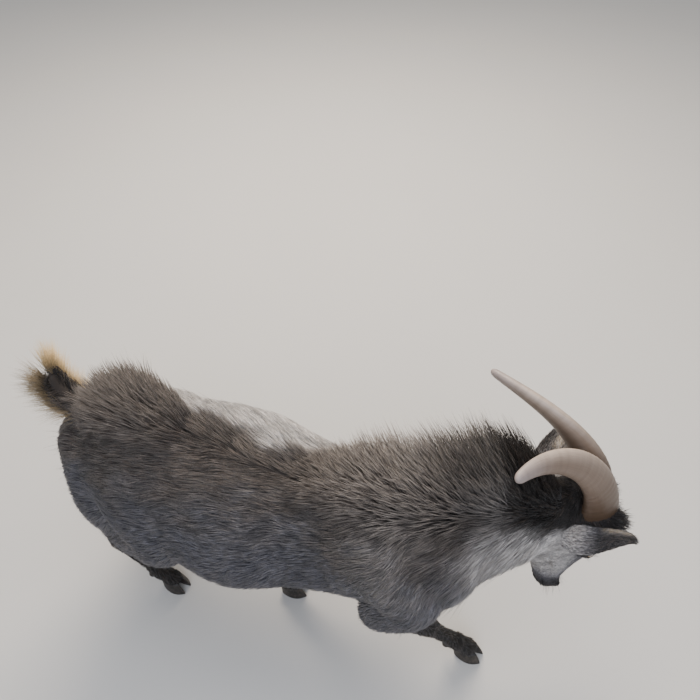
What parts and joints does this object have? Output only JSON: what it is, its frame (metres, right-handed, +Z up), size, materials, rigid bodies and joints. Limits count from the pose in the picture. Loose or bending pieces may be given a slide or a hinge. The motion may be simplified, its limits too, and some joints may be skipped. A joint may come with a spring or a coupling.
{
  "type": "dwarf goat",
  "caption": "Life-size still dwarf billy goat, walking with its head lowered to butt: swept-back horns, raised crest along the spine, shaggy coat, cloven hooves.",
  "frame": {"origin": "on the floor, under the middle of the bounding box", "axes": "+X along the trunk toward the head, +Y to the animal's left, +Z up"},
  "size_m": [0.8988, 0.3896, 0.5642],
  "materials": {
    "coat": "shaggy hair, dark grey agouti with brown and pale tips",
    "black_coat": "short flat black hair",
    "horn": "ridged keratin, satin",
    "hoof": "worn dark keratin",
    "eye": "wet, glossy amber"
  },
  "bodies": {
    "root": {"torso": "coat", "neck": "coat", "head": "coat", "tail": "coat", "ear_right": "coat", "eye_right": "eye", "horn_right": "horn", "foreleg_right": "black_coat", "hind_leg_right": "black_coat", "hoof_fore_right": "hoof", "hoof_hind_right": "hoof", "ear_left": "coat", "eye_left": "eye", "horn_left": "horn", "foreleg_left": "black_coat", "hind_leg_left": "black_coat", "hoof_fore_left": "hoof", "hoof_hind_left": "hoof"}
  },
  "joints": []
}
